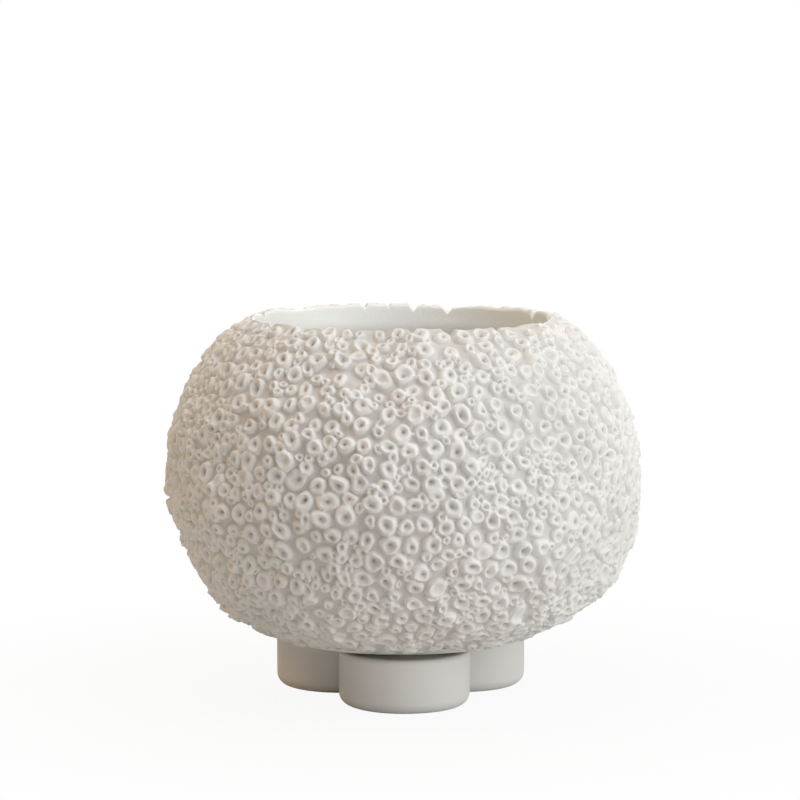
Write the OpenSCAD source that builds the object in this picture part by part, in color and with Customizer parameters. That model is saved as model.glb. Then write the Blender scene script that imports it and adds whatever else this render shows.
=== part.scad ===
// Round ceramic plant pot, covered in coral polyps and standing on three puck feet.
// The origin is the centre of the pot on the ground. Z points up, and one foot points to the front, -Y.

/* [Bowl] */
// Widest diameter, measured over the polyps
overall_d = 250; // [220:1:290]
// Height of the widest point above the ground
belly_h = 107; // [98:1:118]
// Height of the bare rim above the ground
rim_h = 195; // [180:0.5:215]
// Clear diameter of the mouth
mouth_d = 153; // [140:1:164]
// How far the straight inner face of the mouth goes down from the rim
mouth_depth = 12; // [8:0.5:16]
// Radius of the rounding along the cut edge of the mouth
rim_round = 1.5; // [0.8:0.1:2]
// Thickness of the side wall
wall = 5.5; // [4.5:0.25:7]
// Radius of the flat centre, about which the side wall curves out
core_r = 59; // [54:0.5:63]
// Radius of the flat base that sits on the feet
base_r = 62; // [58:0.5:64]
// How far the flat base stands below the curved wall
base_step = 2.8; // [2:0.1:3.5]
// Diameter of the drain hole in the middle of the floor
drain_d = 12; // [8:0.5:16]

/* [Feet] */
// Height of each foot
foot_h = 29.5; // [26:0.5:33]
// Radius of each round foot
foot_r = 34; // [31:0.5:35]
// Distance of each foot's centre from the pot's axis
foot_ring_r = 36.5; // [34:0.5:38]
// Radius of the rounding at the bottom edge of a foot
foot_bottom_round = 6; // [3:0.5:8]
// Radius of the rounding at the top edge of a foot
foot_top_round = 4; // [2:0.5:6]
// Gap between the flat meeting faces of two feet
foot_gap = 0.2; // [0.1:0.05:0.5]

/* [Polyps] */
// How far the tallest polyp stands out of the wall
polyp_h = 2.8; // [2.2:0.1:3.4]
// Mean distance between the middles of two polyps in a row
polyp_pitch = 10.3; // [9:0.1:12]
// Largest radius of a polyp at its spread foot
polyp_max_r = 5.6; // [4.6:0.1:6]
// Gap left between the spread feet of two neighbouring polyps
polyp_gap = 0.25; // [0.15:0.05:0.6]
// Number that sets how the polyps are scattered
growth_seed = 7; // [1:1:99]

/* [Hidden] */
$fn = 48;
ROWS = 23;
ROW_NAMES = [for (i = [1:ROWS]) str("polyp_row_", i < 10 ? "0" : "", i)];

// Each face of the side wall follows two quarter ellipses that meet at the belly.
mouth_r = mouth_d / 2;
side_reach = overall_d / 2 - polyp_h - core_r;
lower_reach = belly_h - foot_h - base_step;
// Turns about the core at which the outer face ends at the rim and starts at the flat base
rim_turn = acos((mouth_r + rim_round - core_r) / side_reach);
base_turn = -acos((base_r + base_step - core_r) / side_reach);
upper_reach = (rim_h - belly_h) / sin(rim_turn);

// The inner face keeps the wall's thickness below the belly and thickens it towards the mouth.
inner_reach = side_reach - wall;
inner_rim_turn = acos((mouth_r - core_r) / inner_reach);
inner_lower_reach = lower_reach - wall;
inner_upper_reach = (rim_h - mouth_depth - belly_h) / sin(inner_rim_turn);

function upright_reach(turn) = turn < 0 ? lower_reach : upper_reach;
function outer_face(turn) = [
    core_r + side_reach * cos(turn),
    belly_h + upright_reach(turn) * sin(turn)
];
function inner_face(turn) = [
    core_r + inner_reach * cos(turn),
    belly_h + (turn < 0 ? inner_lower_reach : inner_upper_reach) * sin(turn)
];
function outer_normal(turn) =
    let (v = [cos(turn) / side_reach, sin(turn) / upright_reach(turn)])
    v / norm(v);

// Chords of the drawn curves
wall_steps = 28;
round_steps = 8;

// The polyps start clear of the flat base and end just below the rim.
base_margin = 6;
rim_margin = 5.2;
first_turn = -acos((base_r + base_margin - core_r) / side_reach);
course_step_turn = 0.5;
course = [
    for (
        turn = first_turn, run = 0;
        turn <= rim_turn;
        run = run + norm(outer_face(turn + course_step_turn) - outer_face(turn)),
        turn = turn + course_step_turn
    ) [run, turn]
];
course_length = course[len(course) - 1][0] - rim_margin;
row_step = course_length / (ROWS - 1);

// How far a polyp strays from its even place before the crowd settles, as a share of the spacing
stray_share = 0.38;
// Least and greatest pull of a polyp on the space that it shares with its neighbours
small_share = 0.7;
large_share = 1.3;
// Rounds in which crowded polyps push each other apart, and how far each round goes
SETTLE_ROUNDS = 4;
push_share = 0.9;
// Rounds in which each polyp spreads over half of the space that its nearest neighbour leaves
SPREAD_ROUNDS = 2;
// Neighbours looked at on each side in a row, while the crowd settles and while the polyps spread
SETTLE_SIDE = 1;
SPREAD_SIDE = 2;
// Clearance of a polyp's flat foot from the curved wall
polyp_seat = 0.02;
// Least radius of a polyp, below which its place stays bare
polyp_min_r = 1.5;

// Section of a polyp from its foot over the lip into the pit, as shares of its radius and height
polyp_section_shares = [
    [0, 0], [1, 0], [0.93, 0.26], [0.88, 0.66], [0.81, 0.9], [0.71, 1],
    [0.61, 0.94], [0.54, 0.74], [0.48, 0.2], [0, 0.2]
];
// Height of the smallest polyp, as a share of the tallest
low_polyp_share = 0.62;

function ring_radius(run) = outer_face(lookup(run, course))[0];

// Each spot holds the distance along the course, the bearing and the pull of one polyp.
ROW_CHANCES = [for (row = [0:ROWS - 1])
    let (count = round(2 * PI * ring_radius(row * row_step) / polyp_pitch))
    rands(-1, 1, 3 * count + 1, growth_seed * ROWS + row)];
ROW_COUNTS = [for (chance = ROW_CHANCES) (len(chance) - 1) / 3];
ROW_PHASES = [for (row = [0:ROWS - 1]) ROW_CHANCES[row][3 * ROW_COUNTS[row]]];
EVEN_ROWS = [for (row = [0:ROWS - 1])
    let (chance = ROW_CHANCES[row], count = ROW_COUNTS[row], held = row == 0 || row == ROWS - 1)
    [for (k = [0:count - 1]) [
        (row + (held ? 0 : chance[3 * k] * stray_share)) * row_step,
        (k + chance[3 * k + 1] * stray_share + ROW_PHASES[row]) * 360 / count,
        (small_share + large_share) / 2 + chance[3 * k + 2] * (large_share - small_share) / 2
    ]]];

function wrap(k, count) = ((k % count) + count) % count;
function neighbours(rows, row, k, side) = [
    for (r = [max(row - 1, 0):min(row + 1, ROWS - 1)])
        let (beside = round((k + ROW_PHASES[row]) * ROW_COUNTS[r] / ROW_COUNTS[row] - ROW_PHASES[r]))
        for (d = [-side:side])
            if (r != row || d != 0) rows[r][wrap(beside + d, ROW_COUNTS[r])]
];
function bearing_apart(a, b) = wrap(a - b + 180, 360) - 180;
function push(spot, other, ring_r) =
    let (
        apart = [spot[0] - other[0], bearing_apart(spot[1], other[1]) * PI / 180 * ring_r],
        wanted = polyp_pitch * (spot[2] + other[2]) / 2,
        distance = norm(apart)
    )
    distance < wanted ? apart / distance * (wanted - distance) * push_share : [0, 0];
function add(list, k = 0, sum = [0, 0]) = k == len(list) ? sum : add(list, k + 1, sum + list[k]);
function settled_spot(rows, row, k) =
    let (
        spot = rows[row][k],
        ring_r = ring_radius(spot[0]),
        move = add([for (other = neighbours(rows, row, k, SETTLE_SIDE)) push(spot, other, ring_r)]) / 2,
        held = row == 0 || row == ROWS - 1
    )
    [
        held ? spot[0] : min(max(spot[0] + move[0], 0), course_length),
        spot[1] + move[1] / ring_r * 180 / PI,
        spot[2]
    ];
function settled(rows, rounds) = rounds == 0 ? rows : settled([
    for (row = [0:ROWS - 1]) [for (k = [0:len(rows[row]) - 1]) settled_spot(rows, row, k)]
], rounds - 1);
SPOTS = settled(EVEN_ROWS, SETTLE_ROUNDS);

PLACES = [for (spots = SPOTS) [for (spot = spots)
    let (p = outer_face(lookup(spot[0], course)))
    [p[0] * cos(spot[1]), p[0] * sin(spot[1]), p[1]]]];

// A polyp spreads until it nearly meets its neighbours.
function free_space(row, k, own, radii) =
    let (
        place = PLACES[row][k],
        others = neighbours(PLACES, row, k, SPREAD_SIDE),
        reaches = neighbours(radii, row, k, SPREAD_SIDE)
    )
    min([for (i = [0:len(others) - 1]) norm(others[i] - place) - polyp_gap - own - reaches[i]]);
FIRST_RADII = [for (spots = SPOTS) [for (spot = spots) polyp_pitch / 2 * spot[2]]];
function spread(radii, rounds) = rounds == 0 ? radii : spread([
    for (row = [0:ROWS - 1]) [for (k = [0:len(radii[row]) - 1])
        let (own = radii[row][k])
        min(own + free_space(row, k, own, radii) / 2, polyp_max_r)
    ]
], rounds - 1);
RADII = spread(FIRST_RADII, SPREAD_ROUNDS);

function arc_points(centre, radius, from, to) = [
    for (k = [0:round_steps])
        let (a = from + (to - from) * k / round_steps)
        centre + radius * [cos(a), sin(a)]
];

module bowl() {
    outer = [for (k = [0:wall_steps])
        outer_face(base_turn + (rim_turn - base_turn) * k / wall_steps)];
    // The mouth's inner face goes straight down from a rounded top edge.
    rim_edge = arc_points(outer_face(rim_turn) - [0, rim_round], rim_round, 90, 180);
    inner = [for (k = [0:wall_steps])
        inner_face(inner_rim_turn + (-90 - inner_rim_turn) * k / wall_steps)];
    floor_top = inner[wall_steps][1];
    color("#e9e4dc")
        rotate_extrude()
            polygon(concat(
                [[drain_d / 2, foot_h], [base_r, foot_h]],
                outer,
                rim_edge,
                inner,
                [[drain_d / 2, floor_top]]
            ));
}

module foot(bearing) {
    // The two flat faces where a foot meets its neighbours are planes through the pot's axis.
    reach = foot_ring_r + 2 * foot_r;
    lean = foot_gap / 2 / sin(60);
    color("#ddd6cc")
        rotate([0, 0, bearing])
            intersection() {
                translate([foot_ring_r, 0, 0])
                    rotate_extrude()
                        polygon(concat(
                            [[0, 0]],
                            arc_points([foot_r - foot_bottom_round, foot_bottom_round], foot_bottom_round, -90, 0),
                            arc_points([foot_r - foot_top_round, foot_h - foot_top_round], foot_top_round, 0, 90),
                            [[0, foot_h]]
                        ));
                linear_extrude(foot_h)
                    polygon([
                        [lean, 0],
                        [lean + reach * cos(60), reach * sin(60)],
                        [lean + reach, 0],
                        [lean + reach * cos(60), -reach * sin(60)]
                    ]);
            }
}

module foot_front() {
    foot(-90);
}

module foot_right() {
    foot(30);
}

module foot_left() {
    foot(150);
}

module polyp(radius) {
    height = polyp_h * (low_polyp_share + (1 - low_polyp_share) * radius / polyp_max_r);
    rotate_extrude()
        polygon([for (p = polyp_section_shares) [p[0] * radius, p[1] * height]]);
}

module polyp_row(row) {
    color("#f1ede6")
        for (k = [0:len(SPOTS[row]) - 1]) if (RADII[row][k] > polyp_min_r) {
            spot = SPOTS[row][k];
            turn = lookup(spot[0], course);
            normal = outer_normal(turn);
            face = outer_face(turn) + polyp_seat * normal;
            translate([face[0] * cos(spot[1]), face[0] * sin(spot[1]), face[1]])
                rotate([0, atan2(normal[0], normal[1]), spot[1]])
                    polyp(RADII[row][k]);
        }
}

bowl();
foot_front();
foot_right();
foot_left();
for (row = [0:ROWS - 1])
    polyp_row(row);
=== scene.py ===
"""Looks of the coral plant pot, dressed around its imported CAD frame. Lengths are in metres.

The bowl is a smooth lining and a skin of coral. The skin is one net of heights over the bowl's
outer face, cut into rings. Three puck feet carry the bowl.
"""

import math

import bmesh
import bpy
import numpy as np
from mathutils import Matrix, Vector


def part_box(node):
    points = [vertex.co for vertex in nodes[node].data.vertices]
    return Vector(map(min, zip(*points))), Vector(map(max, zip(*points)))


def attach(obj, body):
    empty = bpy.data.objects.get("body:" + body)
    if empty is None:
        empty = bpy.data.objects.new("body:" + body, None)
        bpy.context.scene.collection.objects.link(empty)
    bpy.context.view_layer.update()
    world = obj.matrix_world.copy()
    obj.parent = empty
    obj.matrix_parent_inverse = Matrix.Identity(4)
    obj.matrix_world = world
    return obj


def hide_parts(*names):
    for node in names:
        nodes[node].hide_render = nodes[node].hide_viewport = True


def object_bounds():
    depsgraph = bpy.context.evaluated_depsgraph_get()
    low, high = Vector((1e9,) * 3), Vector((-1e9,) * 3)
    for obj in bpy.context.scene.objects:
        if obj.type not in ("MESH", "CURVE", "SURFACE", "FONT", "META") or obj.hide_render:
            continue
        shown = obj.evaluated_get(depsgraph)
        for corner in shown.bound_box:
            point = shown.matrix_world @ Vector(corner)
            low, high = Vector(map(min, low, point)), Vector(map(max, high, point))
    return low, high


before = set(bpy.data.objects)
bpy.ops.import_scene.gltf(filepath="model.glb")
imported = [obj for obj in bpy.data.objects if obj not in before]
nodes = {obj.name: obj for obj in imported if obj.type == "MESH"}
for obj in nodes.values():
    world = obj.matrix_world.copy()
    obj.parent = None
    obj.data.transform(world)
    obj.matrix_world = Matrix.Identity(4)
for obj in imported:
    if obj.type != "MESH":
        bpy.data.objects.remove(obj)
cad_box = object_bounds()
polyp_rows = sorted(name for name in nodes if name.startswith("polyp_row_"))

FULL_TURN = 2 * math.pi

# Sizes of the thrown bowl. The frame gives its rim, belly and base, and the rest is as in the CAD
# source.
bowl_low, bowl_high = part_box("bowl")
RIM_HEIGHT = bowl_high.z
BASE_HEIGHT = bowl_low.z
BELLY_RADIUS = bowl_high.x
BELLY_HEIGHT = 0.107
CORE_RADIUS = 0.059
WALL = 0.0055
MOUTH_RADIUS = 0.0765
MOUTH_DEPTH = 0.012
RIM_ROUND = 0.0015
BASE_RADIUS = 0.062
BASE_STEP = 0.0028
DRAIN_RADIUS = 0.006

SIDE_REACH = BELLY_RADIUS - CORE_RADIUS
LOWER_REACH = BELLY_HEIGHT - BASE_HEIGHT - BASE_STEP
RIM_TURN = math.acos((MOUTH_RADIUS + RIM_ROUND - CORE_RADIUS) / SIDE_REACH)
BASE_TURN = -math.acos((BASE_RADIUS + BASE_STEP - CORE_RADIUS) / SIDE_REACH)
UPPER_REACH = (RIM_HEIGHT - BELLY_HEIGHT) / math.sin(RIM_TURN)
INNER_REACH = SIDE_REACH - WALL
INNER_RIM_TURN = math.acos((MOUTH_RADIUS - CORE_RADIUS) / INNER_REACH)
INNER_LOWER_REACH = LOWER_REACH - WALL
INNER_UPPER_REACH = (RIM_HEIGHT - MOUTH_DEPTH - BELLY_HEIGHT) / math.sin(INNER_RIM_TURN)

# How far the coral skin goes down inside the mouth, how deep in the wall the hidden faces run, and
# how far along the skin below the rim they end
INNER_SKIN_DROP = 0.0085
SKIN_BACK_DEPTH = 0.0041
LINING_BACK_DEPTH = 0.0045
BACK_BELOW_RIM = 0.0115

# The coral skin is one net of courses and bearings, cut into rings.
RINGS = 9
COURSES_PER_RING = 52
COURSES = RINGS * COURSES_PER_RING
BEARINGS = 1640
LINING_STEPS = BEARINGS // 4

# The skin line is first drawn in these short steps, and smoothed over this many of them each way.
LINE_STEP = 0.0001
SMOOTHED_STEPS = 12
SMOOTH_SPREAD = 4.5


def wall_line(turn, reach, lower_reach, upper_reach):
    """Radius and height of points on one face of the side wall, at turns about the core."""
    turn = np.asarray(turn, float)
    upright = np.where(turn < 0, lower_reach, upper_reach)
    across, up = CORE_RADIUS + reach * np.cos(turn), BELLY_HEIGHT + upright * np.sin(turn)
    return np.stack([across, up], -1)


def outer_face(turn):
    return wall_line(turn, SIDE_REACH, LOWER_REACH, UPPER_REACH)


def inner_face(turn):
    return wall_line(turn, INNER_REACH, INNER_LOWER_REACH, INNER_UPPER_REACH)


def arc(first, last, count, radius):
    """Points of an arc about nought, from one bearing in degrees to another."""
    bend = np.radians(np.linspace(first, last, count))
    return radius * np.stack([np.cos(bend), np.sin(bend)], -1)


def soft_corner(start, corner, end, count):
    """A smooth bend from start to end, pulled towards corner."""
    t = np.linspace(0, 1, count)[:, None]
    return (1 - t) ** 2 * start + 2 * t * (1 - t) * corner + t**2 * end


def evenly(points, count=None, gap=None):
    """The same line with its points at even distances, and the distance of each along it."""
    run = np.concatenate([[0], np.cumsum(np.linalg.norm(np.diff(points, axis=0), axis=1))])
    count = count or int(run[-1] / gap) + 2
    even = np.linspace(0, run[-1], count)
    return np.stack([np.interp(even, run, points[:, k]) for k in (0, 1)], -1), even


def smoothed(points):
    """A line's points, each averaged with its neighbours, apart from both ends."""
    n = SMOOTHED_STEPS
    kernel = np.exp(-0.5 * (np.arange(-n, n + 1) / SMOOTH_SPREAD) ** 2)
    kernel /= kernel.sum()
    padded = np.concatenate([np.repeat(points[:1], n, 0), points, np.repeat(points[-1:], n, 0)])
    smooth = np.stack([np.convolve(padded[:, k], kernel, "valid") for k in (0, 1)], -1)
    smooth[:n], smooth[-n:] = points[:n], points[-n:]
    return smooth


def skin_line():
    """The line of the coral skin: up the outer face, over the rim and down inside it."""
    outer = outer_face(np.linspace(BASE_TURN, RIM_TURN, 900))
    rim = outer[-1] - [0, RIM_ROUND] + arc(90, 180, 30, RIM_ROUND)
    inner_end = [MOUTH_RADIUS, RIM_HEIGHT - INNER_SKIN_DROP]
    drawn, _ = evenly(np.concatenate([outer[:-1], rim, [inner_end]]), gap=LINE_STEP)
    return evenly(smoothed(drawn), count=COURSES + 1)


line, line_run = skin_line()
course_gap = line_run[1]
slope = np.gradient(line, course_gap, axis=0)
slope /= np.linalg.norm(slope, axis=1)[:, None]
line_normal = np.stack([slope[:, 1], -slope[:, 0]], -1)
rim_course = int(np.argmax(line[:, 1]))
rim_run = line_run[rim_course]
bearing = np.arange(BEARINGS) * FULL_TURN / BEARINGS
bearing_gap = bearing[1]
ring_radius = line[:, 0]

grid_x = ring_radius[:, None] * np.cos(bearing)[None]
grid_y = ring_radius[:, None] * np.sin(bearing)[None]
grid_z = np.repeat(line[:, 1:], BEARINGS, 1)

SEED = 29
# How many waves add up to a soft noise
SOFT_WAVES = 28


def soft_noise_at(x, y, z, size, seed):
    """Smooth unevenness of about one unit at points, whose lumps are about size metres across."""
    wave_chance = np.random.default_rng(seed)
    heading = wave_chance.normal(size=(SOFT_WAVES, 3))
    length = np.linalg.norm(heading, axis=1)[:, None]
    heading *= (math.pi / size) * wave_chance.uniform(0.6, 1.3, (SOFT_WAVES, 1)) / length
    start = wave_chance.uniform(0, FULL_TURN, SOFT_WAVES)
    total = np.zeros(np.shape(x))
    for (a, b, c), s in zip(heading, start):
        total += np.cos(a * x + b * y + c * z + s)
    return total * math.sqrt(2 / SOFT_WAVES)


def soft_noise(size, seed):
    """The same unevenness over the whole net."""
    return soft_noise_at(grid_x, grid_y, grid_z, size, seed)


def swells(table):
    """The sum of soft noises, each with its height, its lumps' size and its own seed."""
    return sum(high * soft_noise(size, SEED + seed) for high, size, seed in table)


def step(x):
    """A soft step from 0 to 1 as x goes past 0."""
    return 1 / (1 + np.exp(-np.clip(x, -30, 30)))


def smooth_rise(x):
    """A smooth rise from 0 at x = 0 to 1 at x = 1."""
    x = np.clip(x, 0, 1)
    return x * x * (3 - 2 * x)


def band(x, rise_at, rise_width, fall_at, fall_width):
    """A smooth rise to 1 from rise_at, and a smooth fall back to 0 from fall_at."""
    return smooth_rise((x - rise_at) / rise_width) * (1 - smooth_rise((x - fall_at) / fall_width))


def hump(x, middle, width):
    """1 at middle, falling away evenly on both sides."""
    return np.exp(-(((x - middle) / width) ** 2))


def held_below(values, most, soft):
    """The values, eased so that none passes most."""
    over = values - (most - soft)
    return np.where(over > 0, most - soft + soft * np.tanh(over / soft), values)


def turn_from(start, turns):
    """The shorter way round from start to each of turns."""
    return (turns - start + math.pi) % FULL_TURN - math.pi


# Polyps of the CAD rows, and later ones between them

# Corners of loose triangles are the same point where they agree to a micrometre. Each place in
# whole micrometres, within a span of about a metre, makes one number.
MICROMETRES = 1e6
KEY_SPAN = 2**20


def separate_solids(mesh):
    """The points of each separate solid in a CAD mesh of loose triangles."""
    spots = np.empty(len(mesh.vertices) * 3)
    mesh.vertices.foreach_get("co", spots)
    spots = spots.reshape(-1, 3)
    corners = np.empty(len(mesh.loops), int)
    mesh.loops.foreach_get("vertex_index", corners)
    whole = np.round(spots * MICROMETRES).astype(np.int64) + KEY_SPAN // 2
    key = (whole[:, 0] * KEY_SPAN + whole[:, 1]) * KEY_SPAN + whole[:, 2]
    _, first, same = np.unique(key, return_index=True, return_inverse=True)
    points = spots[first]
    faces = same[corners].reshape(-1, 3)
    # The lowest label spreads over the faces until all points of a solid have it.
    label = np.arange(len(points))
    while True:
        low = label[faces].min(1)
        new = label.copy()
        np.minimum.at(new, faces.ravel(), np.repeat(low, 3))
        new = new[new]
        if (new == label).all():
            return [points[label == one] for one in np.unique(label)]
        label = new


def cad_polyps(node):
    """Run along the skin line, bearing and foot radius of each polyp in a CAD node."""
    found = []
    for cloud in separate_solids(node.data):
        middle = cloud.mean(0)
        flat = np.array([np.hypot(middle[0], middle[1]), middle[2]])
        course = int(np.argmin(np.linalg.norm(line[: rim_course + 1] - flat, axis=1)))
        turn = math.atan2(middle[1], middle[0])
        along, up = line_normal[course]
        axis = np.array([along * math.cos(turn), along * math.sin(turn), up])
        away = cloud - middle
        away -= (away @ axis)[:, None] * axis
        reach = np.linalg.norm(away, axis=1).max()
        found.append((line_run[course], turn % FULL_TURN, reach))
    return found


chance = np.random.default_rng(SEED)

# How the CAD polyps are drawn into clumps, their uneven sizes, and where the outer ones may lie
CLUMP_SHIFT = 0.0013
CLUMP_SIZE = 0.022
PATCH_SIZE = 0.03
PATCH_SWING = 0.08
SIZE_SHARE = (0.76, 1.06)
LARGEST_RADIUS = 0.0049
LOWEST_RUN = 0.005
RIM_MARGIN = 0.0036

# Most later polyps of each size, tries at placing them, and their least and largest radius
LATE_SIZES = ((260, 6000, 0.0032, 0.0042), (620, 12000, 0.0020, 0.0032))
# The share of its radius that an older and a later polyp keeps clear, and the ends of their range
OLDER_SHARE = 0.80
LATER_SHARE = 0.66
LATE_LOWEST_RUN = 0.006
LATE_RIM_MARGIN = 0.0035


def crowded(spots):
    """The CAD polyps drawn a little together into clumps, and made a little uneven in size."""
    run, turn, reach = np.array(spots).T
    radius = np.interp(run, line_run, ring_radius)
    level = np.interp(run, line_run, line[:, 1])
    place = (radius * np.cos(turn), radius * np.sin(turn), level)
    run = run + CLUMP_SHIFT * soft_noise_at(*place, CLUMP_SIZE, SEED + 11)
    turn = turn + CLUMP_SHIFT * soft_noise_at(*place, CLUMP_SIZE, SEED + 12) / radius
    patch = 1 + PATCH_SWING * soft_noise_at(*place, PATCH_SIZE, SEED + 13)
    reach = reach * chance.uniform(*SIZE_SHARE, len(reach)) * patch
    reach = np.minimum(reach, LARGEST_RADIUS)
    run = np.clip(run, LOWEST_RUN, rim_run - RIM_MARGIN)
    return list(zip(run, turn % FULL_TURN, reach))


def late_polyps(spots, count, tries, small, large):
    """Later polyps of radius small to large, squeezed in between the spots."""
    runs, turns, reaches = np.array(spots).T
    kept = []
    places = line_run[: rim_course + 1]
    weight = ring_radius[: rim_course + 1] / ring_radius[: rim_course + 1].sum()
    for _ in range(tries):
        run = chance.choice(places, p=weight)
        turn = chance.uniform(0, FULL_TURN)
        reach = chance.uniform(small, large)
        radius = np.interp(run, line_run, ring_radius)
        gap = np.hypot(runs - run, turn_from(turn, turns) * radius) - reaches * OLDER_SHARE
        free = gap.min() > reach * LATER_SHARE
        if free and LATE_LOWEST_RUN < run < rim_run - LATE_RIM_MARGIN:
            kept.append((run, turn, reach))
            runs, turns = np.append(runs, run), np.append(turns, turn)
            reaches = np.append(reaches, reach)
            if len(kept) == count:
                break
    return kept


polyps = crowded([spot for name in polyp_rows for spot in cad_polyps(nodes[name])])
for late_size in LATE_SIZES:
    polyps += late_polyps(polyps, *late_size)


def neighbour_pairs(spots, reach):
    """Pairs of spots that lie within reach of each other, with the gap between them."""
    spots = np.asarray(spots)
    order = np.argsort(spots[:, 0])
    pairs = []
    for place, i in enumerate(order):
        rest = order[place + 1 :]
        rest = rest[spots[rest, 0] - spots[i, 0] < reach]
        middle = np.interp((spots[rest, 0] + spots[i, 0]) / 2, line_run, ring_radius)
        turn = turn_from(spots[i, 1], spots[rest, 1])
        gap = np.hypot(spots[rest, 0] - spots[i, 0], turn * middle)
        pairs += [(i, j, g) for j, g in zip(rest, gap) if g < reach]
    return pairs


def window(run, turn, reach):
    """The part of the net within reach of a spot, with each point's distance up and round."""
    first = max(int((run - reach) / course_gap), 0)
    last = min(int((run + reach) / course_gap) + 2, COURSES + 1)
    half = int(reach / (ring_radius[first:last].min() * bearing_gap)) + 1
    middle = int(round(turn / bearing_gap))
    columns = np.arange(middle - half, middle + half + 1)
    up = line_run[first:last, None] - run
    round_it = ring_radius[first:last, None] * (columns * bearing_gap - turn)[None]
    where = np.ix_(np.arange(first, last), columns % BEARINGS)
    return where, np.broadcast_to(up, round_it.shape), round_it


# Heights of the coral over the curved wall
LIP_HEIGHT = 0.0025
FLOOR_DROP = 0.0009
MERGE_POWER = 3.0

# Radius from which a polyp's lip is at full height, and radius of a middling polyp
TALL_RADIUS = 0.0045
MIDDLE_RADIUS = 0.0042
# In polyp radii: how far a polyp's form reaches, and where its low apron ends and how wide it is
FORM_REACH = 1.85
APRON_REACH = 1.48
APRON_WIDTH = 0.62
APRON_SHARE = 0.36
# A pit's throat, darkened with painted shade, and how far any pit goes below the clay between the
# polyps
THROAT_DEPTH = 0.0011
THROAT_CHANCE = 0.85
THROAT_FULL_SHADE = 0.0012
PIT_BELOW_FLOOR = 0.0007
# Low ridges that join close polyps
RIDGE_REACH = 0.0125
RIDGE_MARGIN = 0.003
RIDGE_CLOSENESS = 1.16
RIDGE_CHANCE = 0.42
RIDGE_WIDTH = (0.0009, 0.0016)
RIDGE_HEIGHT = (0.40, 0.82)

# Height, size and seed of the swells of the clay between the polyps
FLOOR_SWELLS = ((0.00036, 0.011, 3), (0.00006, 0.0026, 4))
# Slow wander of the polyps' outlines
WARP = 0.00034
WARP_SIZE = 0.005
warp_up = soft_noise(WARP_SIZE, SEED + 1) * WARP
warp_round = soft_noise(WARP_SIZE, SEED + 2) * WARP


def polyp_form(up, round_it, radius):
    """One polyp's mound, pit and painted shade at distances up and round from its middle."""
    # Its outline is a slight oval with a few soft lobes. Distances a and b are in its radii.
    squash = chance.uniform(0.80, 1.0)
    lie = chance.uniform(0, math.pi)
    a = (up * math.cos(lie) + round_it * math.sin(lie)) / (radius * squash**0.5)
    b = (round_it * math.cos(lie) - up * math.sin(lie)) / (radius / squash**0.5)
    around = np.arctan2(b, a)
    lobes = chance.normal(0, [0.05, 0.024, 0.014])
    starts = chance.uniform(0, FULL_TURN, 3)
    edge = 1 + sum(l * np.cos(k * around + s) for l, k, s in zip(lobes, (2, 3, 5), starts))
    rho = np.hypot(a, b) * edge
    size_share = min(radius / TALL_RADIUS, 1.1)
    height = LIP_HEIGHT * (0.5 + 0.5 * size_share) * chance.uniform(0.66, 1.10)
    # It leans: its lip is higher on one side, and its flank is broader there.
    tilt = chance.uniform(0.0, 0.40)
    lean = chance.uniform(0, FULL_TURN)
    face = height * (1 + tilt * (a * math.cos(lean) + b * math.sin(lean)))
    ripple = 0.07 * np.cos(3 * around + starts[1]) + 0.07 * np.cos(5 * around + starts[0])
    crest = chance.uniform(0.62, 0.76)
    fall = chance.uniform(0.36, 0.62) * (1 + 0.40 * np.cos(around - lean))
    flank = 1 - smooth_rise((rho - crest) / fall)
    apron = APRON_SHARE * height * smooth_rise((APRON_REACH - rho) / APRON_WIDTH)
    mound = face * (1 + ripple * np.clip(rho, 0, 1) ** 2) * flank + apron
    # Its pit opens within the crest, a little off the middle. A few pits are shallow.
    opening = crest - chance.uniform(0.20, 0.33) * min(MIDDLE_RADIUS / radius, 1.15)
    low_side = 0.10 * tilt * np.array([math.cos(lean), math.sin(lean)])
    offset = chance.normal(0, 0.03, 2) - low_side
    inner = np.hypot(a - offset[0], b - offset[1]) * edge
    mouth = step((opening - inner) / chance.uniform(0.09, 0.15))
    depth = height * (chance.uniform(0.54, 0.84) if chance.uniform() > 0.03 else 0.25)
    # Many a pit narrows to a small throat, which gets painted shade.
    throat = chance.uniform(0.18, 0.30) * opening
    aside = chance.normal(0, 0.08, 2)
    deep = np.exp(-(((a - aside[0]) ** 2 + (b - aside[1]) ** 2) / (2 * throat) ** 2))
    deep *= THROAT_DEPTH * min(radius / MIDDLE_RADIUS, 1) * (chance.uniform() < THROAT_CHANCE)
    # Painted shade: some in the pit's mouth, more in its throat
    shade = mouth * chance.uniform(0.7, 1.0) + deep / THROAT_FULL_SHADE
    return mound, depth * mouth + deep, shade


def ridge_between(one, other, gap):
    """A low ridge from one polyp to another: the part of the net it lies in, and its height."""
    turn = turn_from(one[1], other[1])
    middle = ((one[0] + other[0]) / 2, (one[1] + turn / 2) % FULL_TURN)
    where, up, round_it = window(middle[0], middle[1], gap / 2 + RIDGE_MARGIN)
    radius = np.interp(middle[0], line_run, ring_radius)
    way = np.array([other[0] - one[0], turn * radius]) / max(gap, 1e-6)
    along = up * way[0] + round_it * way[1]
    across = -up * way[1] + round_it * way[0]
    ends = np.clip(np.abs(along) - gap / 2, 0, None)
    width = chance.uniform(*RIDGE_WIDTH)
    section = np.exp(-((across / width) ** 2) - (ends / width) ** 2)
    return where, section * LIP_HEIGHT * chance.uniform(*RIDGE_HEIGHT)


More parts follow.
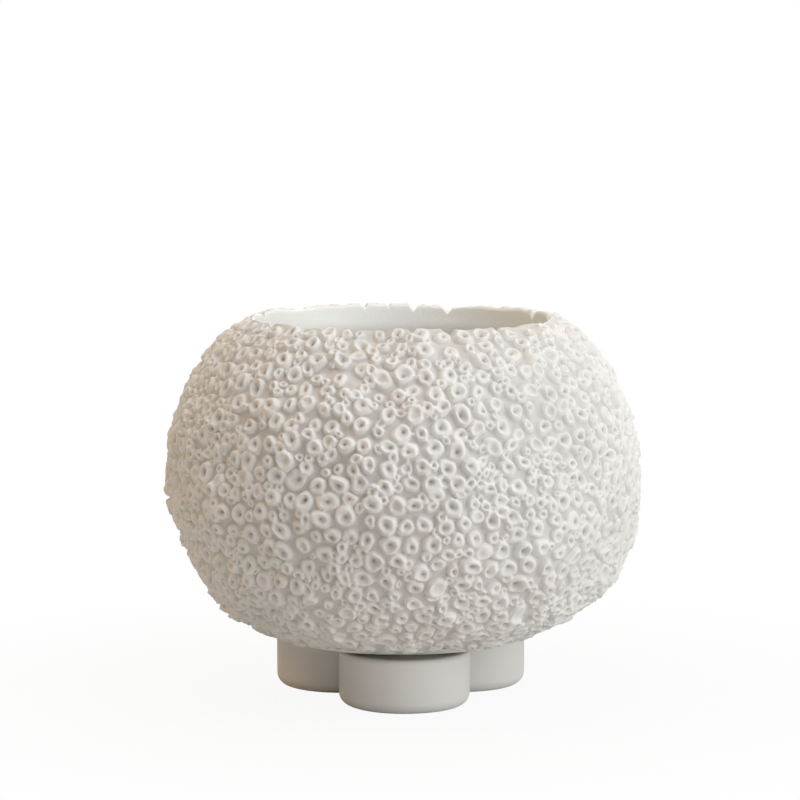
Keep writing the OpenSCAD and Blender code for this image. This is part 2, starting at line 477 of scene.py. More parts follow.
def coral_relief():
    """Height of the coral over the skin line, and how much painted shade each point gets."""
    crowd = np.zeros(grid_x.shape)
    pits = np.zeros(grid_x.shape)
    shade = np.zeros(grid_x.shape)
    for run, turn, radius in polyps:
        where, up, round_it = window(run, turn, radius * FORM_REACH)
        mound, pit, dark = polyp_form(up + warp_up[where], round_it + warp_round[where], radius)
        crowd[where] += np.clip(mound, 0, None) ** MERGE_POWER
        pits[where] = np.maximum(pits[where], pit)
        shade[where] = np.maximum(shade[where], dark)
    for i, j, gap in neighbour_pairs([spot[:2] for spot in polyps], RIDGE_REACH):
        if gap > RIDGE_CLOSENESS * (polyps[i][2] + polyps[j][2]):
            continue
        if chance.uniform() > RIDGE_CHANCE:
            continue
        where, ridge = ridge_between(polyps[i], polyps[j], gap)
        crowd[where] += ridge**MERGE_POWER
    mounds = crowd ** (1 / MERGE_POWER)
    relief = swells(FLOOR_SWELLS) + mounds - np.minimum(pits, mounds + PIT_BELOW_FLOOR)
    # The low clay between the mounds gets painted shade, as the pits do.
    return relief, np.maximum(1 - smooth_rise((mounds - 0.0004) / 0.0013), shade)


# Height, size and seed of each slow swell of the body, and how high they may be together
BODY_SWELLS = ((0.00070, 0.034, 5), (0.00085, 0.018, 7), (0.00040, 0.009, 8))
SWELL_EASE = 0.0004
SWELL_MOST = 0.0017
# Lumps that hang down just above the feet, and the slight unevenness that goes on inside the mouth
HANG = 0.0011
HANG_RUN = 0.010
HANG_WIDTH = 0.008
MOUTH_UNEVEN = 0.00012
# The tallest coral, and the height over which it is eased
CORAL_MOST = 0.0046
CORAL_EASE = 0.0016


def body_swell():
    """Slow unevenness of the body.

    Round the belly it only dents the body, so that whole polyps stay within the CAD part's box.
    """
    swell = swells(BODY_SWELLS)
    room = cad_box[1].x - ring_radius - 1.12 * LIP_HEIGHT + FLOOR_DROP
    room = np.clip(room, -0.0005, 0.02)[:, None]
    swell = -SWELL_EASE * np.logaddexp(-swell / SWELL_EASE, -room / SWELL_EASE)
    return SWELL_MOST * np.tanh(swell / SWELL_MOST)


# The coral fades out at the flat base and over the rim, and stands lower beside both.
base_fade = smooth_rise(line_run / 0.003)
base_low = 0.50 + 0.50 * smooth_rise((line_run - 0.006) / 0.034)
rim_fade = 1 - smooth_rise((line_run - rim_run + 0.0008) / 0.0034)
rim_low = 0.55 + 0.45 * smooth_rise((rim_run - line_run) / 0.006)
inner_fade = smooth_rise((line_run[-1] - line_run) / 0.004)
# Past the rim the clay is smooth.
smooth_share = smooth_rise((line_run - rim_run + 0.0005) / 0.0025)


def skin_height(relief):
    """Height of the whole skin over its line: the coral, the body's swell and hanging lumps."""
    fade = (base_fade * base_low * rim_fade * rim_low)[:, None]
    lumps = hump(line_run, HANG_RUN, HANG_WIDTH)[:, None]
    hang = HANG * lumps * (0.5 + 0.7 * soft_noise(0.021, SEED + 11))
    mouth = MOUTH_UNEVEN * soft_noise(0.016, SEED + 6) * inner_fade[:, None]
    high = (relief - FLOOR_DROP + body_swell()) * fade + hang * base_fade[:, None] + mouth
    return held_below(high, CORAL_MOST, CORAL_EASE)


coral, painted_shade = coral_relief()
height = skin_height(coral)
# No painted shade at the flat base or over the rim
painted_shade *= (base_fade * rim_fade)[:, None]
# Painted shade on the clay in the joint over the feet, where the gap under the bowl lies in shadow
PAINTED_JOINT_LEVEL = 1.7
painted_joint_share = PAINTED_JOINT_LEVEL * (1 - smooth_rise((line_run - 0.002) / 0.005))
painted_shade = np.maximum(painted_shade, painted_joint_share[:, None])

# The rim's edge stands up a little. It wavers, and has a notch between some of its last polyps.
RIM_LIFT = 0.0018
LIFT_OUTSIDE = 0.0065
LIFT_INSIDE = 0.0085
LAST_POLYPS = 0.009
NOTCH_SPACING = 0.13
NOTCH_CHANCE = 0.45
NOTCH_HALF_WIDTH = (0.0018, 0.0046)
NOTCH_SLOPE = (0.7, 1.25)
NOTCH_POWER = 1.35


def rim_drop():
    """How far the rim dips at each bearing."""
    run_round = MOUTH_RADIUS * bearing
    ripple = 0.00022 * np.cos(run_round / 0.0021 + 1.0) * np.cos(run_round / 0.0067)
    drop = 0.0004 + ripple + 0.00025 * np.cos(run_round / 0.0048)
    last = np.sort([turn for run, turn, _ in polyps if run > rim_run - LAST_POLYPS])
    cut = -1.0
    for one, other in zip(last, last[1:]):
        at = (one + other) / 2
        if at - cut < NOTCH_SPACING or chance.uniform() > NOTCH_CHANCE:
            continue
        cut = at
        half = chance.uniform(*NOTCH_HALF_WIDTH)
        depth = half * chance.uniform(*NOTCH_SLOPE)
        aside = turn_from(at, bearing)
        slant = 1 + 0.3 * np.sign(aside) * chance.uniform(-1, 1)
        gap = np.abs(aside) * MOUTH_RADIUS
        notch = depth * np.clip(1 - gap / (half * slant), 0, 1) ** NOTCH_POWER
        drop = np.maximum(drop, notch)
    return drop


# The body is a little lopsided. Its lower left side and its belly's left are pulled in, and the
# underside is higher at the right and left than in front.
LEFT_PULL = 0.0058
LEFT_BELLY_PULL = 0.0014
RIGHT_BULGE = 0.0006
TOP_BULGE = 0.0006
RIGHT_LIFT = 0.0034
LEFT_LIFT = 0.0018
# Nothing is pulled within this radius, and all of the pull comes this much further out.
STILL_RADIUS = 0.03


def hand_built(points):
    """The points as a hand-built body has them."""
    x, y, z = points[..., 0], points[..., 1], points[..., 2]
    radius = np.hypot(x, y)
    side = x / np.maximum(radius, 1e-6)
    low = band(z, BASE_HEIGHT, 0.036, 0.078, 0.030)
    high = band(z, 0.115, 0.035, 0.165, 0.025)
    belly = hump(z, BELLY_HEIGHT, 0.024)
    left, right = ((1 - side) / 2) ** 2, ((1 + side) / 2) ** 2
    pull = (RIGHT_BULGE * right - LEFT_PULL * left) * low - LEFT_BELLY_PULL * left * belly
    pull = pull + TOP_BULGE * high
    share = np.clip((radius - STILL_RADIUS) / STILL_RADIUS, 0, 1)
    scale = 1 + pull * share / np.maximum(radius, 1e-6)
    under = smooth_rise((radius - 0.066) / 0.018) * (1 - smooth_rise((z - 0.034) / 0.034))
    lift = (RIGHT_LIFT * right + LEFT_LIFT * left) * under
    return np.stack([x * scale, y * scale, z + lift], -1)


# How far inside the CAD part's box the skin ends, and how softly it is held there
BOX_MARGIN = 0.0001
WIDE_EASE = 0.0010
TOP_EASE = 0.0003


def skin_net():
    """Points of the coral skin, one for each course and bearing, with their normals."""
    from_rim = line_run - rim_run
    reach = np.where(from_rim < 0, -from_rim / LIFT_OUTSIDE, from_rim / LIFT_INSIDE)
    edge_share = 1 - smooth_rise(reach)
    out = line_normal[:, None, :] * height[:, :, None]
    radius = ring_radius[:, None] + out[:, :, 0]
    level = grid_z + out[:, :, 1] + edge_share[:, None] * (RIM_LIFT - rim_drop())[None]
    points = hand_built(np.stack([radius * np.cos(bearing), radius * np.sin(bearing), level], -1))
    # The widest and highest polyps stay within the CAD part's box.
    radius = np.hypot(points[..., 0], points[..., 1])
    widest = min(cad_box[1].x, cad_box[1].y, -cad_box[0].x, -cad_box[0].y) - BOX_MARGIN
    points[..., :2] *= (held_below(radius, widest, WIDE_EASE) / radius)[..., None]
    points[..., 2] = held_below(points[..., 2], cad_box[1].z - BOX_MARGIN, TOP_EASE)
    up = np.gradient(points, axis=0)
    side = (np.roll(points, -1, 1) - np.roll(points, 1, 1)) / 2
    normal = np.cross(side, up)
    normal /= np.linalg.norm(normal, axis=2)[:, :, None]
    return points, normal


net, net_normal = skin_net()

# Pieces of the bowl


def new_piece(name, mesh):
    piece = bpy.data.objects.new(name, mesh)
    bpy.context.scene.collection.objects.link(piece)
    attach(piece, "root")
    return piece


def closed_piece(name, points, layers=()):
    """A closed piece with corners points[place, column], joined round both ways.

    Each layer gives an attribute's name and its value at each corner.
    """
    places, columns = points.shape[:2]
    made = bmesh.new()
    bmesh.ops.create_grid(made, x_segments=columns, y_segments=places, size=0.5)
    mesh = bpy.data.meshes.new(name)
    made.to_mesh(mesh)
    flat = np.empty(len(mesh.vertices) * 3)
    mesh.vertices.foreach_get("co", flat)
    flat = flat.reshape(-1, 3)
    # The grid's first and last corners take the same points, and are merged below.
    column = np.round((flat[:, 0] + 0.5) * columns).astype(int) % columns
    place = np.round((flat[:, 1] + 0.5) * places).astype(int) % places
    mesh.vertices.foreach_set("co", points[place, column].ravel())
    for layer_name, values in layers:
        kind, field = ("FLOAT_VECTOR", "vector") if values.ndim == 3 else ("FLOAT", "value")
        layer = mesh.attributes.new(layer_name, kind, "POINT")
        layer.data.foreach_set(field, values[place, column].astype(np.float32).ravel())
    made.clear()
    made.from_mesh(mesh)
    bmesh.ops.remove_doubles(made, verts=made.verts, dist=1e-8)
    if made.calc_volume(signed=True) < 0:
        bmesh.ops.reverse_faces(made, faces=made.faces)
    for face in made.faces:
        face.smooth = True
    made.to_mesh(mesh)
    made.free()
    return mesh


def turned_points(profile, steps):
    """A profile of radius and height at each of steps bearings round the pot's axis."""
    turn = np.arange(steps) * FULL_TURN / steps
    profile = np.asarray(profile)
    across, up = profile[:, :1], profile[:, 1:]
    return np.stack([across * np.cos(turn), across * np.sin(turn), np.repeat(up, steps, 1)], -1)


# The last course that has hidden faces straight behind it
BACK_END = int(np.searchsorted(line_run, rim_run - BACK_BELOW_RIM))


def hidden_line(first_course, last_course, count, depth):
    """Points in the wall behind the skin, from one course to another."""
    courses = np.linspace(first_course, last_course, count).round().astype(int)
    return line[courses] - line_normal[courses] * depth


def skin_ring(number):
    """One ring of the coral skin: its part of the net, and plain faces in the wall behind."""
    first = number * COURSES_PER_RING
    last = first + COURSES_PER_RING
    top = number == RINGS - 1
    # The last ring goes over the rim, so its back starts below the skin's inner end.
    back = hidden_line(BACK_END if top else last, first, 7, SKIN_BACK_DEPTH)
    hidden = hand_built(turned_points(back, BEARINGS))
    bare = np.zeros(hidden.shape[:2])
    shown = slice(first, last + 1)
    smooth = np.repeat(smooth_share[shown, None], BEARINGS, 1)
    layers = [
        ("facing", np.concatenate([net_normal[shown], np.zeros(hidden.shape)])),
        ("painted_shade", np.concatenate([painted_shade[shown], bare])),
        ("smooth", np.concatenate([smooth, bare])),
    ]
    name = f"coral_ring_{number + 1}"
    mesh = closed_piece(name, np.concatenate([net[shown], hidden]), layers)
    # The net's own normals, so that no seam shows between rings
    normals = np.empty(len(mesh.vertices) * 3)
    mesh.attributes["facing"].data.foreach_get("vector", normals)
    mesh.attributes.remove(mesh.attributes["facing"])
    mesh.normals_split_custom_set_from_vertices(normals.reshape(-1, 3))
    return new_piece(name, mesh)


# How far down inside the bowl its mouth face turns into the round wall, and how sharply
COLLAR_REACH = 0.019
COLLAR_PULL = 0.0105
# Rounded upper and lower edge of the drain hole, and the soft lower edge of the base
HOLE_ROUND = 0.0012
HOLE_BEVEL = 0.0006
BASE_SOFTNESS = 0.0012
BASE_EDGE_OUT = 0.0006
BASE_EDGE_UP = 0.0007
# Slow unevenness of the smooth wall, and how far from the skin and the hole it comes in
LINING_UNEVEN = 0.00022
LINING_FADE = 0.02
LINING_SHARP_DEGREES = 32


def lining_profile():
    """The lining's closed profile, and how many of its points are on the inside of the bowl."""
    inner_end = line[-1]
    inner = inner_face(np.linspace(INNER_RIM_TURN, -math.pi / 2, 120))
    below = inner[np.linalg.norm(inner - inner[0], axis=1) > COLLAR_REACH]
    corner = np.array([MOUTH_RADIUS, inner_end[1] - COLLAR_PULL])
    inner = np.concatenate([soft_corner(inner_end, corner, below[0], 22), below[1:]])
    hole_centre = np.array([DRAIN_RADIUS + HOLE_ROUND, inner[-1][1] - HOLE_ROUND])
    hole_top = hole_centre + arc(90, 180, 7, HOLE_ROUND)
    hole_end = [[DRAIN_RADIUS, BASE_HEIGHT + HOLE_BEVEL], [DRAIN_RADIUS + HOLE_BEVEL, BASE_HEIGHT]]
    base_edge = soft_corner(
        np.array([BASE_RADIUS - BASE_SOFTNESS, BASE_HEIGHT]),
        np.array([BASE_RADIUS, BASE_HEIGHT]),
        np.array([BASE_RADIUS + BASE_EDGE_OUT, BASE_HEIGHT + BASE_EDGE_UP]),
        6,
    )
    back = hidden_line(0, BACK_END, 40, LINING_BACK_DEPTH)
    return np.concatenate([inner, hole_top, hole_end, base_edge, line[:1], back]), len(inner)


def bowl_lining():
    """The smooth inside of the bowl with its floor, drain hole, flat base and the wall's back."""
    profile, inside = lining_profile()
    points = turned_points(profile, LINING_STEPS)
    x, y, z = points[:, :, 0], points[:, :, 1], points[:, :, 2]
    wave = np.sin(70 * x + 40 * z) * np.cos(60 * y - 50 * z) + 0.6 * np.sin(110 * y + 90 * z)
    below_skin = np.clip((line[-1][1] - z) / LINING_FADE, 0, 1)
    from_hole = np.clip((np.hypot(x, y) - LINING_FADE) / LINING_FADE, 0, 1)
    share = below_skin * from_hole
    share[inside:] = 0
    dent = LINING_UNEVEN * wave * share
    turn = np.arctan2(y, x)
    points[:, :, 0] -= dent * np.cos(turn)
    points[:, :, 1] -= dent * np.sin(turn)
    mesh = closed_piece("bowl_lining", hand_built(points))
    mesh.set_sharp_from_angle(angle=math.radians(LINING_SHARP_DEGREES))
    return new_piece("bowl_lining", mesh)


# Sizes of the feet
FOOT_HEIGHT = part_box("foot_front")[1].z
FOOT_RADIUS = 0.034
FOOT_RING_RADIUS = 0.0365
FOOT_BOTTOM_ROUND = 0.006
FOOT_TOP_ROUND = 0.0022
FOOT_CROWN_RADIUS = 0.024
FOOT_EDGE_DROP = 0.0016
FOOT_EDGE_HEIGHT = FOOT_HEIGHT - FOOT_EDGE_DROP
FOOT_GAP = 0.0002
FOOT_STEPS = 160
FOOT_SHARP_DEGREES = 40
# The hand's unevenness on a foot, in a slow and a quick swell, all within the CAD foot
FOOT_SLOW_SWELL = 0.00016
FOOT_QUICK_SWELL = 0.00010
FOOT_INSET = 0.00026
MERGE_GAP = 1e-7


def foot_profile():
    """A foot's profile, from the middle of its sole up to the middle of its crown."""
    bottom = np.array([FOOT_RADIUS - FOOT_BOTTOM_ROUND, FOOT_BOTTOM_ROUND])
    bottom = bottom + arc(-90, 0, 13, FOOT_BOTTOM_ROUND)
    top = np.array([FOOT_RADIUS - FOOT_TOP_ROUND, FOOT_EDGE_HEIGHT - FOOT_TOP_ROUND])
    top = top + arc(0, 90, 11, FOOT_TOP_ROUND)
    sole = np.linspace([0, 0], bottom[0], 8)[:-1]
    side = np.linspace(bottom[-1], top[0], 8)[1:-1]
    shoulder = np.linspace(top[-1], [FOOT_CROWN_RADIUS, FOOT_HEIGHT], 6)[1:]
    crown = np.linspace(shoulder[-1], [0, FOOT_HEIGHT], 5)[1:]
    return np.concatenate([sole, bottom, side, top, shoulder, crown])


def foot_piece(name, degrees):
    """One puck foot, turned, made uneven, and cut flat where it meets the other two."""
    made = bmesh.new()
    corners = [made.verts.new((r, 0, z)) for r, z in foot_profile()]
    edges = [made.edges.new((a, b)) for a, b in zip(corners, corners[1:])]
    bmesh.ops.spin(
        made,
        geom=corners + edges,
        cent=(0, 0, 0),
        axis=(0, 0, 1),
        angle=FULL_TURN,
        steps=FOOT_STEPS,
        use_merge=True,
    )
    bmesh.ops.remove_doubles(made, verts=made.verts, dist=MERGE_GAP)
    bmesh.ops.recalc_face_normals(made, faces=made.faces)
    turn = math.radians(degrees)
    phase = turn * 3
    for corner in made.verts:
        x, y, z = corner.co
        around = math.atan2(y, x)
        up = z / FOOT_HEIGHT
        swell = FOOT_SLOW_SWELL * math.sin(2 * around + phase)
        swell = swell + FOOT_QUICK_SWELL * math.sin(5 * around + 2 * phase + 3 * up)
        share = math.hypot(x, y) / FOOT_RADIUS
        corner.co.x += (swell - FOOT_INSET) * share * math.cos(around)
        corner.co.y += (swell - FOOT_INSET) * share * math.sin(around)
    bmesh.ops.translate(made, verts=made.verts, vec=(FOOT_RING_RADIUS, 0, 0))
    # Two planes through the pot's axis, half a gap back, part it from the other feet.
    third = math.radians(60)
    for sign in (1, -1):
        way = third * sign
        cut = bmesh.ops.bisect_plane(
            made,
            geom=made.verts[:] + made.edges[:] + made.faces[:],
            dist=MERGE_GAP,
            plane_co=(FOOT_GAP / 2 / math.sin(third), 0, 0),
            plane_no=Vector((-math.sin(way) * sign, math.cos(way) * sign, 0)),
            clear_outer=True,
        )
        rim = [e for e in cut["geom_cut"] if isinstance(e, bmesh.types.BMEdge)]
        bmesh.ops.holes_fill(made, edges=rim, sides=0)
    for face in made.faces:
        face.smooth = True
    bmesh.ops.recalc_face_normals(made, faces=made.faces)
    about_axis = Matrix.Rotation(turn, 3, "Z")
    bmesh.ops.rotate(made, verts=made.verts, cent=(0, 0, 0), matrix=about_axis)
    mesh = bpy.data.meshes.new(name)
    made.to_mesh(mesh)
    made.free()
    mesh.set_sharp_from_angle(angle=math.radians(FOOT_SHARP_DEGREES))
    return new_piece(name, mesh)


# Bisque finishes


def new_finish(name):
    """A new material, its node tree and its shader."""
    finish = bpy.data.materials.new(name)
    finish.use_nodes = True
    return finish, finish.node_tree, finish.node_tree.nodes["Principled BSDF"]


def wire(tree, source, target):
    tree.links.new(source, target)


def place_of(tree):
    """The place in the object's own metres."""
    return tree.nodes.new("ShaderNodeTexCoord").outputs["Object"]


def attribute_of(tree, name):
    """A value that the mesh carries."""
    attribute = tree.nodes.new("ShaderNodeAttribute")
    attribute.attribute_name = name
    return attribute.outputs["Fac"]


def noise_of(tree, scale, detail, rough=0.55):
    cloud = tree.nodes.new("ShaderNodeTexNoise")
    cloud.inputs["Scale"].default_value = scale
    cloud.inputs["Detail"].default_value = detail
    cloud.inputs["Roughness"].default_value = rough
    wire(tree, place_of(tree), cloud.inputs["Vector"])
    return cloud.outputs["Fac"]


def length_of(tree, vector):
    length = tree.nodes.new("ShaderNodeVectorMath")
    length.operation = "LENGTH"
    wire(tree, vector, length.inputs[0])
    return length.outputs["Value"]


def result_of(tree, operation, first, second):
    """The result of a maths operation on two values."""
    maths = tree.nodes.new("ShaderNodeMath")
    maths.operation = operation
    wire(tree, first, maths.inputs[0])
    wire(tree, second, maths.inputs[1])
    return maths.outputs["Value"]


def blend(tree, share, first, second):
    """A share of the second colour over the first. Each is a socket or a plain colour."""
    mix = tree.nodes.new("ShaderNodeMix")
    mix.data_type = "RGBA"
    wire(tree, share, mix.inputs["Factor"])
    for socket, value in ((mix.inputs["A"], first), (mix.inputs["B"], second)):
        if isinstance(value, tuple):
            socket.default_value = (*value, 1)
        else:
            wire(tree, value, socket)
    return mix.outputs["Result"]


def mixed_shader(tree, share, first, second, output):
    """Sends a share of the second shader over the first to the tree's output."""
    mix = tree.nodes.new("ShaderNodeMixShader")
    wire(tree, share, mix.inputs["Fac"])
    wire(tree, first, mix.inputs[1])
    wire(tree, second, mix.inputs[2])
    wire(tree, mix.outputs["Shader"], tree.nodes[output].inputs["Surface"])


def spread(tree, value, low, high, to_low=0.0, to_high=1.0):
    """Stretches a value from its range low to high over another range."""
    stretch = tree.nodes.new("ShaderNodeMapRange")
    numbers = {"From Min": low, "From Max": high, "To Min": to_low, "To Max": to_high}
    for socket, number in numbers.items():
        stretch.inputs[socket].default_value = number
    wire(tree, value, stretch.inputs["Value"])
    return stretch.outputs["Result"]


def bump_over(tree, noise, distance, under=None):
    """A bump from noise, over another bump if there is one."""
    bump = tree.nodes.new("ShaderNodeBump")
    bump.inputs["Strength"].default_value = 0.5
    bump.inputs["Distance"].default_value = distance
    wire(tree, noise, bump.inputs["Height"])
    if under:
        wire(tree, under, bump.inputs["Normal"])
    return bump.outputs["Normal"]


BISQUE = (0.85, 0.845, 0.83)
BISQUE_WARM = (0.82, 0.805, 0.78)
BISQUE_PALE = (0.89, 0.89, 0.88)
SMOOTH_CLAY = (0.93, 0.94, 0.925)
SMOOTH_CLAY_WARM = (0.92, 0.925, 0.905)
FOOT_CLAY = (0.79, 0.785, 0.77)
FOOT_CLAY_WARM = (0.76, 0.745, 0.715)
# Colours of painted shade: in the coral's hollows, in the joint over the feet and in the pits'
# throats
PAINTED_HOLLOW_SHADE = (0.665, 0.65, 0.63)
PAINTED_JOINT_SHADE = (0.24, 0.23, 0.215)
PAINTED_THROAT_SHADE = (0.46, 0.44, 0.415)
# The painted joint shade starts this far from the pot's axis, and is full this far.
JOINT_START = 0.040
JOINT_FULL = 0.052
SPECULAR = 0.35
ROUGH_SWING = 0.06
PATCH_SCALE = 16
SPECK_SCALE = 130
ROUGH_SCALE = 90
FINE_GRAIN_SCALE = 2600


def coral_colour(tree, patches):
    """Clay with pale specks, painted shade in the hollows and darker painted shade in the throats,
    and smooth clay past the rim.
    """
    specks = spread(tree, noise_of(tree, SPECK_SCALE, 4), 0.42, 0.72, 0.0, 0.6)
    colour = blend(tree, specks, blend(tree, patches, BISQUE, BISQUE_WARM), BISQUE_PALE)
    # Painted shade in hollows, pits and the joint: grey up to 1, darker past it
    deep = attribute_of(tree, "painted_shade")
    colour = blend(tree, spread(tree, deep, 0.15, 0.95, 0.0, 0.9), colour, PAINTED_HOLLOW_SHADE)
    colour = blend(tree, spread(tree, deep, 1.05, 1.6, 0.0, 0.9), colour, PAINTED_THROAT_SHADE)
    smooth = blend(tree, patches, SMOOTH_CLAY, SMOOTH_CLAY_WARM)
    return blend(tree, attribute_of(tree, "smooth"), colour, smooth)


def smooth_colour(tree, patches):
    return blend(tree, patches, SMOOTH_CLAY, SMOOTH_CLAY_WARM)


def foot_colour(tree, patches):
    """Clay with painted shade on the outer part of the top face, in the joint under the bowl where
    shadow falls.
    """
    colour = blend(tree, patches, FOOT_CLAY, FOOT_CLAY_WARM)
    parts = tree.nodes.new("ShaderNodeSeparateXYZ")
    wire(tree, place_of(tree), parts.inputs["Vector"])
    # Painted shade on the top face, in the shadowed joint with the bowl
    on_top = (FOOT_EDGE_HEIGHT - 0.0002, FOOT_EDGE_HEIGHT + 0.0004)
    painted_joint_share = spread(tree, parts.outputs["Z"], *on_top, 0.0, 0.95)
    flat = tree.nodes.new("ShaderNodeCombineXYZ")
    for way in "XY":
        wire(tree, parts.outputs[way], flat.inputs[way])
    outer = spread(tree, length_of(tree, flat.outputs["Vector"]), JOINT_START, JOINT_FULL)
    return blend(tree, painted_joint_share, colour, blend(tree, outer, colour, PAINTED_JOINT_SHADE))


def bisque(name, colour_of, roughness, grain_scale, coarse, fine):
    """Matte unglazed white clay with slow warm patches and a coarse and fine grain."""
    finish, tree, shader = new_finish(name)
    patches = spread(tree, noise_of(tree, PATCH_SCALE, 3), 0.35, 0.68)
    wire(tree, colour_of(tree, patches), shader.inputs["Base Color"])
    rough = (roughness - ROUGH_SWING, roughness + ROUGH_SWING)
    worn = spread(tree, noise_of(tree, ROUGH_SCALE, 3), 0.3, 0.7, *rough)
    wire(tree, worn, shader.inputs["Roughness"])
    shader.inputs["Specular IOR Level"].default_value = SPECULAR
    grain = bump_over(tree, noise_of(tree, grain_scale, 3), coarse)
    grain = bump_over(tree, noise_of(tree, FINE_GRAIN_SCALE, 2, 0.7), fine, grain)
    wire(tree, grain, shader.inputs["Normal"])
    return finish


polyp_finish = bisque("bisque_polyps", coral_colour, 0.80, 640, 0.00026, 0.00005)
bowl_finish = bisque("bisque_bowl", smooth_colour, 0.78, 420, 0.00010, 0.00003)
foot_finish = bisque("bisque_feet", foot_colour, 0.74, 420, 0.00010, 0.00003)

# Each ring stands for its share of the CAD rows.
for number, rows in enumerate(np.array_split(np.array(polyp_rows), RINGS)):
    ring = skin_ring(number)
    ring.data.materials.append(polyp_finish)
    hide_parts(*[str(row) for row in rows])

lining = bowl_lining()
lining.data.materials.append(bowl_finish)
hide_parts("bowl")

for name, degrees in (("front", -90), ("right", 30), ("left", 150)):
    foot = foot_piece(f"{name}_puck_foot", degrees)
    foot.data.materials.append(foot_finish)
    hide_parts(f"foot_{name}")


# Floor, room, lamps and camera

WHITE = (1, 1, 1, 1)
FLOOR_CLAY = (0.70, 0.695, 0.685, 1)
FLOOR_RADIUS = 14
# The camera sees this share of white in the floor up to the first distance, and all at the second.
FLOOR_WHITE_SHARE = 0.92
FLOOR_WHITE_FROM = 0.10
FLOOR_WHITE_FULL = 0.34


def pale_floor():
    """A plain pale floor that keeps the pot's soft shadow and turns white further out."""
    made = bmesh.new()
    bmesh.ops.create_circle(made, cap_ends=True, segments=96, radius=FLOOR_RADIUS)
    mesh = bpy.data.meshes.new("floor")
    made.to_mesh(mesh)
    made.free()
    floor = bpy.data.objects.new("floor", mesh)
    bpy.context.scene.collection.objects.link(floor)
    finish, tree, shader = new_finish("pale_floor")
    shader.inputs["Base Color"].default_value = FLOOR_CLAY
    shader.inputs["Roughness"].default_value = 0.9
    shader.inputs["Specular IOR Level"].default_value = 0.1
    white = tree.nodes.new("ShaderNodeEmission")
    white.inputs["Color"].default_value = WHITE
    white.inputs["Strength"].default_value = 1
    far = length_of(tree, place_of(tree))
    share = spread(tree, far, FLOOR_WHITE_FROM, FLOOR_WHITE_FULL, FLOOR_WHITE_SHARE, 1.0)
    path = tree.nodes.new("ShaderNodeLightPath")
    seen = result_of(tree, "MULTIPLY", share, path.outputs["Is Camera Ray"])
    mixed_shader(tree, seen, shader.outputs["BSDF"], white.outputs["Emission"], "Material Output")
    floor.data.materials.append(finish)


ROOM_COLOUR = (1.0, 0.945, 0.865, 1)
ROOM_LEVEL = 0.265


def white_room():
    """White for the camera, gloss and see-through rays, and a plain level of light for the rest."""
    world = bpy.data.worlds.new("room")
    bpy.context.scene.world = world
    world.use_nodes = True
    tree = world.node_tree
    level = tree.nodes["Background"]
    level.inputs["Color"].default_value = ROOM_COLOUR
    level.inputs["Strength"].default_value = ROOM_LEVEL
    white = tree.nodes.new("ShaderNodeBackground")
    white.inputs["Color"].default_value = WHITE
    white.inputs["Strength"].default_value = 1
    path = tree.nodes.new("ShaderNodeLightPath")
    seen = path.outputs["Is Camera Ray"]
    for ray in ("Is Glossy Ray", "Is Transmission Ray"):
        seen = result_of(tree, "MAXIMUM", seen, path.outputs[ray])
    both = (level.outputs["Background"], white.outputs["Background"])
    mixed_shader(tree, seen, *both, "World Output")


def soft_lamp(name, place, aim, size, power, colour):
    """A round soft lamp at a place, turned to its aim."""
    lamp = bpy.data.lights.new(name, "AREA")
    lamp.shape = "DISK"
    lamp.size = size
    lamp.energy = power
    lamp.color = colour
    made = bpy.data.objects.new(name, lamp)
    made.location = place
    made.rotation_mode = "QUATERNION"
    made.rotation_quaternion = (Vector(aim) - Vector(place)).to_track_quat("-Z", "Y")
    bpy.context.scene.collection.objects.link(made)


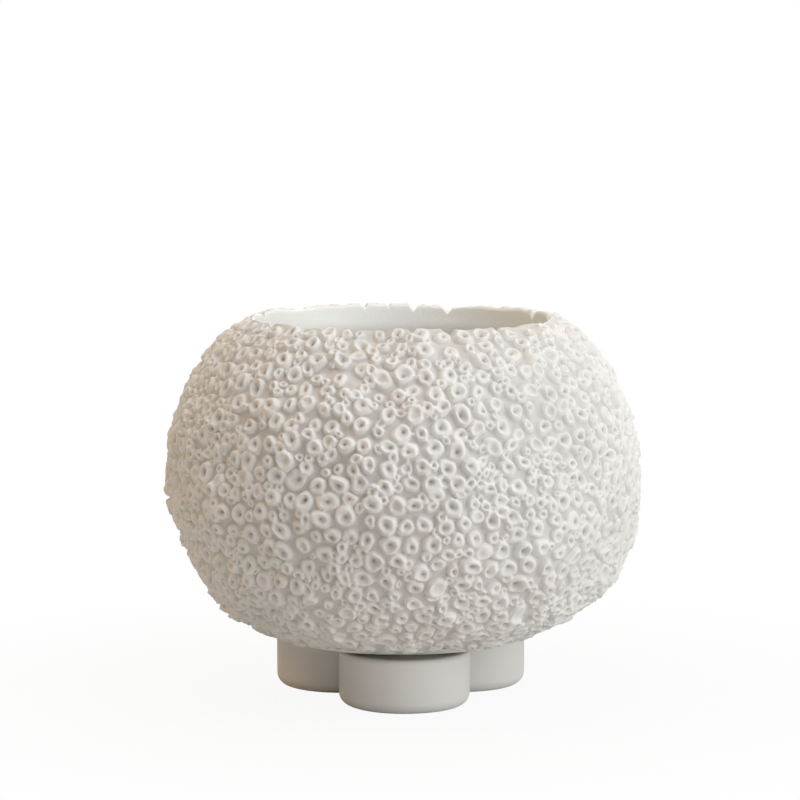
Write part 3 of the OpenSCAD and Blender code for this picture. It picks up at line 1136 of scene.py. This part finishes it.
def mouth_lamp():
    """A narrow soft-edged beam through the mouth on to the back of the inside."""
    place, aim = Vector((0.55, -0.62, 1.15)), Vector((-0.022, 0.052, 0.172))
    lamp = bpy.data.lights.new("mouth_beam", "SPOT")
    lamp.energy = 16
    lamp.spot_size = math.radians(7.5)
    lamp.spot_blend = 1.0
    lamp.shadow_soft_size = 0.05
    lamp.color = (0.98, 1.0, 0.99)
    made = bpy.data.objects.new("mouth_beam", lamp)
    made.location = place
    made.rotation_euler = (aim - place).to_track_quat("-Z", "Y").to_euler()
    bpy.context.scene.collection.objects.link(made)


# Each soft lamp's name, place, aim, size, power and colour
SOFT_LAMPS = (
    ("right_key", (1.56, -1.26, 0.74), (0, 0, 0.11), 2.4, 27.4, (0.965, 0.985, 1.0)),
    ("right_low", (1.10, -0.34, 0.16), (0.02, -0.01, 0.015), 0.24, 0.65, (0.97, 0.99, 1.0)),
    ("top_fill", (0.25, -0.30, 2.0), (0, 0, 0.15), 1.3, 13.4, (1.0, 0.995, 0.985)),
    ("left_warm", (-1.65, 0.10, 1.45), (0, 0, 0.13), 0.9, 8.8, (1.0, 0.61, 0.25)),
    ("back_fill", (0.7, 2.1, 0.9), (0, 0, 0.11), 1.4, 16, (1.0, 0.99, 0.97)),
)

# The camera, as fitted to the photograph. It stands a little to the left and looks a little down,
# by angles in radians, and its picture is two pixels off centre.
CAMERA_DISTANCE = 1.6971
CAMERA_HEIGHT = 0.3395
CAMERA_SIDE = 0.0359
CAMERA_PITCH = 0.1097
SENSOR_WIDTH = 36
FOCAL_LENGTH = 147.66
LENS_SHIFT = -2 / 800


def photo_camera():
    """The camera at the photograph's viewing angle."""
    lens = bpy.data.cameras.new("camera")
    lens.sensor_width = SENSOR_WIDTH
    lens.lens = FOCAL_LENGTH
    lens.shift_x = LENS_SHIFT
    camera = bpy.data.objects.new("camera", lens)
    ahead, aside = math.cos(CAMERA_SIDE), math.sin(CAMERA_SIDE)
    camera.location = (-CAMERA_DISTANCE * aside, -CAMERA_DISTANCE * ahead, CAMERA_HEIGHT)
    level, drop = math.cos(CAMERA_PITCH), math.sin(CAMERA_PITCH)
    sight = Vector((aside * level, ahead * level, -drop))
    camera.rotation_mode = "QUATERNION"
    camera.rotation_quaternion = sight.to_track_quat("-Z", "Y")
    bpy.context.scene.collection.objects.link(camera)
    bpy.context.scene.camera = camera


pale_floor()
white_room()
for lamp in SOFT_LAMPS:
    soft_lamp(*lamp)
mouth_lamp()
photo_camera()
bpy.context.scene.view_settings.view_transform = "Standard"
